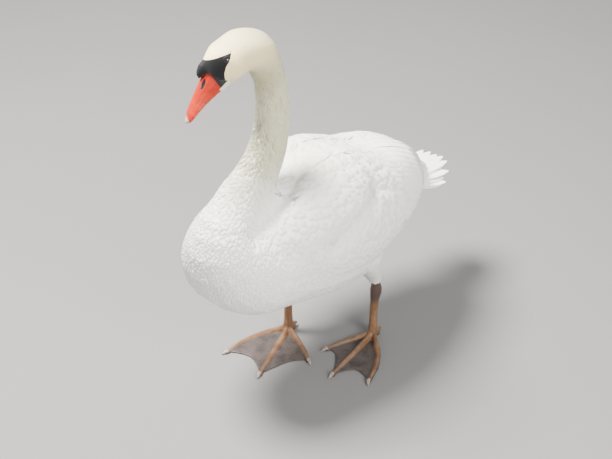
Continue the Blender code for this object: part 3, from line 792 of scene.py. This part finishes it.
def feather_piece(name, shape, triangles, points, normals, faces, finish):
    """One joined mesh of closed feathers, each with a tone, darker towards its root as painted
    shade, and its own patch to bake on.
    """
    count, size = points.shape[:2]
    corners = (triangles[None] + (np.arange(count) * size)[:, None, None]).reshape(-1)
    made = bpy.data.meshes.new(name)
    made.vertices.add(count * size)
    made.vertices.foreach_set("co", points.reshape(-1))
    made.loops.add(len(corners))
    made.loops.foreach_set("vertex_index", corners.astype(np.int32))
    made.polygons.add(len(corners) // 3)
    made.polygons.foreach_set("loop_start", np.arange(0, len(corners), 3, dtype=np.int32))
    made.update(calc_edges=True)
    made.shade_smooth()
    upper = np.where(shape[:, 2][triangles].mean(axis=1) > 0, 1.0, -1.0)
    by_corner = normals[:, triangles] * upper[None, :, None, None]
    made.normals_split_custom_set(by_corner.reshape(-1, 3).tolist())
    # Tone: a random share per feather, plus painted shade that darkens each feather towards its
    # root.
    shade = 0.65 * dice.random(count)[:, None] + 0.35 * (1 - shape[None, :, 0])
    tone = made.attributes.new("tone", "FLOAT", "POINT")
    tone.data.foreach_set("value", shade.reshape(-1).astype(np.float32))
    patch = np.stack([shape[:, 1], shape[:, 0] * 2 - 1], axis=1) * 0.0015
    spot = np.clip(face_uv[faces], 0.002, 0.998)[:, None, :] + patch[None]
    layer = made.uv_layers.new(name="OFBake")
    layer.uv.foreach_set("vector", spot.reshape(-1, 2)[corners].reshape(-1).astype(np.float32))
    made.validate()
    made.materials.append(finish)
    piece = bpy.data.objects.new(name, made)
    bpy.context.scene.collection.objects.link(piece)
    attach(piece, "root")
    print(name, count, "feathers,", len(corners) // 3, "triangles")
    return piece


def grow(name, roots, faces, lengths, widths, finish, rings=4, edges=4, thick=0.0003,
         swing=None, low=0.70, high=1.0, camber=0.12, tilt=None, tip=0.75, softness=0.2):
    """One mesh of feathers, each walked over the skin from its root."""
    shape, triangles = spindle(rings, edges)
    stops = np.unique(np.round(shape[:, 0], 6))
    which = np.array([np.argmin(abs(stops - t)) for t in shape[:, 0]])
    count = len(roots)
    swing = np.zeros(count) if swing is None else swing
    places, outs, runs, deep = walk(roots, faces, lengths, stops, swing)
    good = (np.einsum("nsk,nk->ns", outs, outs[:, 0]) > 0.25).all(axis=1)
    good &= (np.einsum("nsk,nk->ns", runs, runs[:, 0]) > 0.0).all(axis=1)
    places, outs, runs, deep = places[good], outs[good], runs[good], deep[good]
    faces, widths, count = faces[good], widths[good], int(good.sum())
    tilt = None if tilt is None else tilt[good]
    sides = unit(np.cross(runs, outs))
    if tilt is not None:
        turn_c, turn_s = np.cos(tilt)[:, None, None], np.sin(tilt)[:, None, None]
        sides, outs = sides * turn_c + outs * turn_s, outs * turn_c - sides * turn_s
    t = stops[None, :]
    width = widths[:, None] * np.sin(np.pi * np.clip(t ** tip, 0.0, 1.0)) ** 0.5
    height = deep * (low + (high - low) * t) * np.clip(t / 0.12, 0, 1) - 0.0004 * (t < 0.03)
    across, over = shape[:, 1], shape[:, 2]
    w = width[:, which]
    bend = camber * w * across[None, :] ** 2
    lift = height[:, which] - bend + over[None, :] * thick * np.clip(w / 0.004, 0.6, 1.6)
    points = (places[:, which] + sides[:, which] * (w * across[None, :])[..., None]
              + outs[:, which] * lift[..., None])
    normals = unit(outs[:, which] + sides[:, which] * (softness * across)[None, :, None]
                   + runs[:, which] * (0.6 * softness * (shape[:, 0] > 0.8))[None, :, None])
    return feather_piece(name, shape, triangles, points, normals, faces, finish)


# %% [markdown]
# ## Where the small feathers root
# Feathers stand in an even but irregular pattern, closer where they are smaller. Darts are
# thrown at the skin, and one that lands nearer to another than the feather size allows is
# taken away. A coarse and a fine set of boxes keep that search short.

# %% Throw darts at the skin
mesh.calc_loop_triangles()
tri = read(mesh.loop_triangles, "vertices", 3, np.int32)
tri_face = read(mesh.loop_triangles, "polygon_index", 1, np.int32)
CLOSENESS = 0.165


def darts(seed):
    """Root places, their faces and feather lengths, evenly spread by feather length."""
    dice = np.random.default_rng(seed)
    a, b, c = (skin_spots[tri[:, k]] for k in range(3))
    area = np.linalg.norm(np.cross(b - a, c - a), axis=1) / 2
    size = length[tri].mean(axis=1)
    gap = size * np.where(size < 0.016, 0.155, CLOSENESS)
    wanted = np.where((bare[tri].max(axis=1) < 0.0) & on_body[tri[:, 0]], area / gap ** 2, 0)
    number = dice.poisson(wanted * 5)
    pick = np.repeat(np.arange(len(tri)), number)
    dice.shuffle(pick)
    u, v = dice.random(len(pick)), dice.random(len(pick))
    turn = u + v > 1
    u[turn], v[turn] = 1 - u[turn], 1 - v[turn]
    spot = a[pick] + (b - a)[pick] * u[:, None] + (c - a)[pick] * v[:, None]
    gaps = gap[pick]
    finest = gaps.min()
    level = np.ceil(np.log2(gaps / finest)).astype(int)
    sizes = (finest * 2.0 ** np.arange(level.max() + 1)).tolist()
    boxes = [{} for _ in sizes]
    around = [(x, y, z) for x in (-1, 0, 1) for y in (-1, 0, 1) for z in (-1, 0, 1)]
    kept = []
    for k, (p, g, n) in enumerate(zip(spot.tolist(), gaps.tolist(), level.tolist())):
        s, box = sizes[n], boxes[n]
        i, j, m = int(p[0] // s), int(p[1] // s), int(p[2] // s)
        limit = g * g
        clear = True
        for x, y, z in around:
            for q in box.get((i + x, j + y, m + z), ()):
                if (p[0] - q[0]) ** 2 + (p[1] - q[1]) ** 2 + (p[2] - q[2]) ** 2 < limit:
                    clear = False
                    break
            if not clear:
                break
        if clear:
            kept.append(k)
            for other, s in zip(boxes, sizes):
                key = (int(p[0] // s), int(p[1] // s), int(p[2] // s))
                other.setdefault(key, []).append(p)
    kept = np.array(kept)
    return spot[kept], tri_face[pick[kept]], size[pick[kept]]


roots, root_faces, root_lengths = darts(7)
root_parts = face_part[root_faces]
quill_line = wing_low.y + 0.60 * (wing_high.y - wing_low.y)


def past_coverts(places):
    """True behind the slanted line where the small wing feathers give way to long ones."""
    return places[:, 1] - (places[:, 2] - 0.31) * 0.25 > quill_line


winged = np.isin(root_parts, [FLESH.index("wing_left"), FLESH.index("wing_right")])
open_wing = past_coverts(roots) & (roots[:, 2] > wing_low.z + np.where(winged, 0.050, 0.10))
rump_roots, rump_faces = roots[open_wing], root_faces[open_wing]
roots, root_faces = roots[~open_wing], root_faces[~open_wing]
root_lengths, root_parts = root_lengths[~open_wing], root_parts[~open_wing]
print("feathers rooted:", len(roots))

# %% [markdown]
# ## The coat
# The coat is made as a few pieces by region, so that each stays light to handle. Head and neck
# feathers are narrow and lie close. Breast and back feathers are broad and rounded.

# %% Grow the small feathers
dice = np.random.default_rng(11)


def zone(*names):
    return np.isin(root_parts, [FLESH.index(n) for n in names])


trunk_low, trunk_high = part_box("trunk")
fore = roots[:, 1] < trunk_low.y + 0.25 * (trunk_high.y - trunk_low.y)
ZONES = (   # piece, where, half width as a share of length, rings, softness, low, finish
    ("coat_head", zone("head", "mask"), 0.185, 4, 0.8, 0.40, down_finish),
    ("coat_neck_top", zone("neck_top"), 0.175, 4, 0.95, 0.35, down_finish),
    ("coat_neck_middle", zone("neck_middle"), 0.18, 4, 0.90, 0.35, down_finish),
    ("coat_neck_base", zone("neck_base"), 0.27, 5, 0.7, 0.45, down_finish),
    ("coat_breast", zone("trunk") & fore, 0.30, 6, 0.6, 0.5, down_finish),
    ("coat_belly", zone("trunk") & ~fore, 0.30, 6, 0.6, 0.5, down_finish),
    ("coat_wing_left", zone("wing_left"), 0.34, 6, 0.55, 0.65, vane_finish),
    ("coat_wing_right", zone("wing_right"), 0.34, 6, 0.55, 0.65, vane_finish),
    ("coat_thighs", zone("thigh_left", "thigh_right"), 0.28, 4, 0.5, 0.5, down_finish),
)
for name, here, share, rings, softness, low, finish in ZONES:
    number = int(here.sum())
    if not number:
        continue
    long = root_lengths[here] * dice.uniform(0.88, 1.12, number)
    grow(name, roots[here], root_faces[here], long, long * share, finish, rings,
         swing=dice.normal(0, 0.10, number), tilt=dice.normal(0, 0.05, number),
         softness=softness, low=low)

# %% [markdown]
# ## The long feathers of the folded wing
# Behind the small rows come long flight feathers: the inner ones, broad and rounded, lie over
# the back, and the outer ones line the wing's lower rear edge. They are laid in order, from the
# lower edge upwards, so that each overlaps the one below it as in a shut fan.

# %% Lay the flight feathers
QUILLS = 21
for name, sign in (("quills_left", 1), ("quills_right", -1)):
    starts, faces, lengths = [], [], []
    low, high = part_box("wing_left" if sign > 0 else "wing_right")
    centre = (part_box("wing_left")[1].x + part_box("wing_right")[0].x) / 2
    for k in range(QUILLS):
        share = k / (QUILLS - 1)
        turn = math.radians(-26 + 116 * share)
        y = quill_line - 0.035 + 0.02 * math.sin(3.1 * share) + (share - 0.5) * 0.02
        aim = Vector((centre + sign * 0.30 * math.cos(turn), y, 0.305 + 0.30 * math.sin(turn)))
        inward = (Vector((centre, y, 0.305)) - aim).normalized()
        hit, _, face, _ = skin_tree.ray_cast(aim, inward)
        if hit is None:
            continue
        starts.append(hit[:])
        faces.append(face)
        lengths.append((wing_high.y - y) * (1.02 - 0.14 * abs(share - 0.45))
                       * (1 + 0.05 * (dice.random() - 0.5)))
    starts, faces, lengths = np.array(starts), np.array(faces), np.array(lengths)
    grow(name, starts, faces, lengths, np.full(len(starts), 0.0165), vane_finish, rings=12,
         edges=8, thick=0.0007, low=0.78, high=1.06, camber=0.20, tip=0.62,
         tilt=np.full(len(starts), 0.17 * sign), softness=1.0)

# %% [markdown]
# ## Tail feathers
# A mute swan's tail is a short rounded fan of more than twenty feathers, the middle ones
# longest and on top. Each is one long spindle with a broad vane, laid on the same fan as the
# measured tail.

# %% Spread the tail fan
tail_low, tail_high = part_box("tail")
TAIL_COUNT, TAIL_FAN = 22, math.radians(33)
tail_root = Vector(((tail_low.x + tail_high.x) / 2, tail_high.y - 0.1542,
                    tail_high.z - 0.0035))


slope = math.radians(-6)
rear = np.array((0, math.cos(slope), math.sin(slope)))
rise = np.array((0, -math.sin(slope), math.cos(slope)))
sideways = np.array((1.0, 0, 0))
shape, triangles = spindle(9, 8)
along, across, over = shape.T
share = np.linspace(-1, 1, TAIL_COUNT)[:, None]
angle = TAIL_FAN * share * 0.96 + dice.normal(0, 0.025, (TAIL_COUNT, 1))
ray = rear * np.cos(angle) + sideways * np.sin(angle)
cross = sideways * np.cos(angle) - rear * np.sin(angle)
far = 0.155 * (1 - 0.26 * share ** 2) * (1.03 - 0.17 * dice.random((TAIL_COUNT, 1)))
layer_up = 0.0035 * (1 - abs(share)) - 0.002 + dice.normal(0, 0.0009, (TAIL_COUNT, 1))
out = unit(rise * np.cos(0.25 * share) + cross * np.sin(0.25 * share))
side = np.cross(ray, out)
run = -0.03 + (far + 0.03) * along
up = layer_up - 0.036 * share ** 2 * np.maximum(run, 0) / 0.155
width = 0.0180 * np.sin(np.pi * along ** 1.35) ** 0.8
lift = over * 0.0007 - 0.10 * width * across ** 2
points = (np.array(tail_root) + ray[:, None] * run[..., None] + rise * up[..., None]
          + side[:, None] * (width * across)[:, None] + out[:, None] * lift[:, None])
normals = unit(out[:, None] + side[:, None] * (0.45 * across)[:, None])
rooted = [skin_tree.find_nearest(tail_root + Vector(sideways) * 0.05 * float(at))[2]
          for at in share]
tail = feather_piece("tail_fan", shape, triangles, points, normals, np.array(rooted),
                     vane_finish)
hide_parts("tail")

# %% [markdown]
# ## Feathers over and under the tail's root
# The tail's quills would look planted in the rump if nothing covered them. Soft, longer
# feathers root on the hind end of the body and reach out past it, above and below the fan.

# %% Cover the tail's root
mesh_middle = spots[:, 0].mean()
face_middle = skin_spots[padded_corners].mean(axis=1)
behind = np.nonzero((face_middle[:, 1] > tail_root.y - 0.075)
                    & (face_middle[:, 2] > tail_root.z - 0.11)
                    & (abs(face_out[:, 1]) > -0.2) & on_body[face_corner])[0]
picked = dice.choice(behind, min(900, len(behind)), replace=False)
reach_back = 0.050 + 0.030 * dice.random(len(picked))
reach_back = np.minimum(reach_back, tail_high.y - 0.055 - face_middle[picked, 1])
reach_back = np.maximum(reach_back, 0.030)
grow("coat_rump", face_middle[picked], picked, reach_back, reach_back * 0.20, down_finish,
     rings=5, softness=0.5, low=0.6, swing=dice.normal(0, 0.12, len(picked)))

# %% [markdown]
# ## The bill
# The bill is orange-red horn, smooth and slightly glossy, a little brighter towards the tip. Its
# upper and lower halves and its nail are melted together finely, the nostrils are pressed in as
# long slits, and the nostrils and a line along the bill's base are black. The nail at the tip is
# pale horn.

# %% Model the bill
NOSTRIL = (0.0198, 0.0094)
NOSTRIL_RUN = Vector((0.0131, -0.0051)).normalized()


def bill_material():
    made, surface, place = new_finish("bill_horn", 0.34, Specular_IOR_Level=0.5,
                                      Coat_Weight=0.15, Coat_Roughness=0.25)
    a, b, c = head_wires(place)
    soft = place.noise(60.0, 3.0)
    fine = place.noise(420.0, 3.0, 0.6, (1.0, 1.0, 1.0))
    colour = soft.step(0.35, 0.7).blend((0.36, 0.011, 0.0005), (0.46, 0.026, 0.0008))
    colour = (a.step(0.035, 0.070) * 0.45).blend(colour, (0.48, 0.028, 0.009))
    colour = (fine.step(0.5, 0.8) * 0.20).blend(colour, (0.40, 0.026, 0.008))
    along_slit = (a - NOSTRIL[0]) * NOSTRIL_RUN.x + (c - NOSTRIL[1]) * NOSTRIL_RUN.y
    over_slit = (c - NOSTRIL[1]) * NOSTRIL_RUN.x - (a - NOSTRIL[0]) * NOSTRIL_RUN.y
    oval = along_slit * along_slit / 0.0092 ** 2 + over_slit * over_slit / 0.0022 ** 2
    colour = oval.step(1.15, 0.75).blend(colour, (0.012, 0.010, 0.010))
    base_edge = (a + (c - 0.015) * 0.22).step(0.0007, -0.0003)
    colour = base_edge.blend(colour, (0.012, 0.010, 0.010))
    chin = (c + 0.0130).step(0.0005, -0.0005) * a.step(0.0100, 0.0088)
    colour = chin.blend(colour, (0.70, 0.67, 0.48))
    nail = place.node("ShaderNodeVectorMath", {"operation": "DISTANCE"},
                      {0: place, 1: tuple(middle("bill_nail"))}, 1)
    colour = (nail.step(0.0092, 0.0068) * 0.85).blend(colour, (0.56, 0.40, 0.33))
    feed(surface, "Base Color", colour)
    feed(surface, "Roughness", fine * 0.16 + 0.26)
    feed(surface, "Normal", (fine * 0.6 + soft).relief(0.0006, 0.35))
    return made


bill = melted(merged(("bill_upper", "bill_lower", "bill_nail"), 0.0001), 0.0009, 3)
for v in bill.verts:
    a, b, c = in_head(v.co)
    along_slit = (a - NOSTRIL[0]) * NOSTRIL_RUN.x + (c - NOSTRIL[1]) * NOSTRIL_RUN.y
    over_slit = (c - NOSTRIL[1]) * NOSTRIL_RUN.x - (a - NOSTRIL[0]) * NOSTRIL_RUN.y
    oval = (along_slit / 0.0092) ** 2 + (over_slit / 0.0026) ** 2
    if oval < 1.3 and abs(b) > 0.003:
        v.co -= leftward * (0.0016 * math.copysign(1 - oval / 1.3, b))
bill_piece = new_piece("bill", bill, bill_material())
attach(bill_piece, "root")
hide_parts("bill_upper", "bill_lower", "bill_nail")
print("bill squares:", len(bill_piece.data.polygons))

# %% [markdown]
# ## Eyes and claws
# The eye is a small very dark brown ball with a glossy surface, sitting in the rear corner of
# the black patch. A thin black lid closes round it. Claws are short, blunt and pale.

# %% Model the eyes, their lids and the claws
def eye_material():
    made, surface, place = new_finish("dark_eye", 0.06, Specular_IOR_Level=0.6,
                                      Coat_Weight=0.6, Coat_Roughness=0.03)
    a, b, c = head_wires(place)
    soft = place.noise(300.0, 2.0)
    feed(surface, "Base Color", (abs_wire(b).step(0.0245, 0.0272) + soft * 0.2)
         .blend((0.045, 0.018, 0.009), (0.004, 0.003, 0.003)))
    return made


def abs_wire(wire):
    return wire.sum("ABSOLUTE", wire)


eye_finish = eye_material()
lid_finish, lid_surface, lid_place = new_finish("black_lid", 0.65, Specular_IOR_Level=0.2)
feed(lid_surface, "Base Color", lid_place.noise(700.0).blend((0.006, 0.006, 0.007),
                                                           (0.020, 0.019, 0.020)))
for label in ("eye_left", "eye_right"):
    hub = middle(label)
    sign = 1 if label == "eye_left" else -1
    ball = bmesh.new()
    bmesh.ops.create_uvsphere(ball, u_segments=40, v_segments=24, radius=EYE_RADIUS)
    outward_turn = Vector((0, 0, 1)).rotation_difference(leftward * sign)
    bmesh.ops.transform(ball, matrix=Matrix.Translation(hub)
                        @ outward_turn.to_matrix().to_4x4(), verts=ball.verts)
    eye = new_piece(label + "_ball", ball, eye_finish)
    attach(eye, "root")
    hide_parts(label)

lids = bmesh.new()
for label, sign in (("eye_left", 1), ("eye_right", -1)):
    outward_turn = Vector((0, 0, 1)).rotation_difference(leftward * sign)
    seat = Matrix.Translation(middle(label)) @ outward_turn.to_matrix().to_4x4()
    rim = bmesh.ops.create_circle(lids, segments=10, radius=0.0012, cap_ends=False)["verts"]
    up_right = Matrix.Rotation(math.pi / 2, 4, "X")
    out_to = Matrix.Translation((EYE_RADIUS * 0.86, 0, EYE_RADIUS * 0.52))
    bmesh.ops.transform(lids, matrix=out_to @ up_right, verts=rim)
    loop = list({e for v in rim for e in v.link_edges})
    turned = bmesh.ops.spin(lids, geom=rim + loop, cent=(0, 0, 0), axis=(0, 0, 1), dvec=(0, 0, 0),
                            angle=2 * math.pi, steps=36, use_merge=True, use_duplicate=False)
    own = [v for v in lids.verts if not v.tag]
    bmesh.ops.transform(lids, matrix=seat, verts=own)
    for v in own:
        v.tag = True
bmesh.ops.remove_doubles(lids, verts=lids.verts, dist=0.00001)
bmesh.ops.recalc_face_normals(lids, faces=lids.faces)
lid_piece = new_piece("eyelids", lids, lid_finish)
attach(lid_piece, "root")

claw_names = [n for n in nodes if n.startswith("claw_")]


def claw_material():
    made, surface, place = new_finish("pale_claw", 0.4, Specular_IOR_Level=0.45)
    tone = place.noise(260.0, 3.0, 0.6, (1.0, 1.0, 0.4))
    feed(surface, "Base Color", tone.step(0.3, 0.75).blend((0.20, 0.15, 0.12),
                                                          (0.42, 0.34, 0.28)))
    feed(surface, "Roughness", tone * 0.2 + 0.3)
    return made


claws = melted(merged(claw_names, 0.0002), 0.0006, 3)
claw_piece = new_piece("claws", claws, claw_material())
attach(claw_piece, "root")
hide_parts(*claw_names)
print("claw squares:", len(claw_piece.data.polygons))

# %% Let the skin stand for the solids of flesh
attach(skin, "root")
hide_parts(*FLESH, *LIMBS)
print("skin triangles:", sum(len(p.vertices) - 2 for p in skin.data.polygons))

# %% [markdown]
# ## Floor, light and camera
# The swan stands on a plain, flat, pale floor, under one large soft light from the upper front
# and a weaker one from the side. White feathers need a gentle light from one side, or their
# edges can't be seen.

# %% Set the stage
ground = bmesh.new()
bmesh.ops.create_grid(ground, x_segments=1, y_segments=1, size=12.0)
floor_finish, floor_surface, floor_place = new_finish("pale_floor", 0.9)
feed(floor_surface, "Base Color", floor_place.noise(2.0).blend((0.18, 0.178, 0.174),
                                                             (0.195, 0.193, 0.188)))
floor = new_piece("floor", ground, floor_finish)
floor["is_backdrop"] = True


def soft_light(name, place, aim, size, power):
    lamp = bpy.data.lights.new(name, "AREA")
    lamp.shape = "DISK"
    lamp.size = size
    lamp.energy = power
    lamp.color = (1.0, 0.975, 0.94)
    holder = bpy.data.objects.new(name, lamp)
    bpy.context.scene.collection.objects.link(holder)
    holder.location = place
    holder.rotation_euler = (Vector(aim) - Vector(place)).to_track_quat("-Z", "Y").to_euler()


soft_light("key", (-0.8, -0.7, 2.7), (0, 0, 0.35), 1.0, 420)
soft_light("side", (2.4, -0.6, 1.5), (0, 0, 0.35), 1.6, 100)
world = bpy.context.scene.world or bpy.data.worlds.new("world")
bpy.context.scene.world = world
world.use_nodes = True
world.node_tree.nodes["Background"].inputs["Color"].default_value = (0.88, 0.90, 0.93, 1)
world.node_tree.nodes["Background"].inputs["Strength"].default_value = 0.95

view = bpy.data.cameras.new("view")
view.lens = 70.588
view.sensor_width = 36.0
view.clip_end = 100.0
camera = bpy.data.objects.new("view", view)
bpy.context.scene.collection.objects.link(camera)
camera.location = (1.1886796, -1.3949218, 1.5457748)
camera.rotation_euler = (math.radians(55), 0, math.radians(42))
bpy.context.scene.camera = camera

# %% Keep both boxes and finish
dressed_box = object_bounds()
for low_high in zip(cad_box, dressed_box):
    print([round(v, 4) for v in low_high[0]], [round(v, 4) for v in low_high[1]])
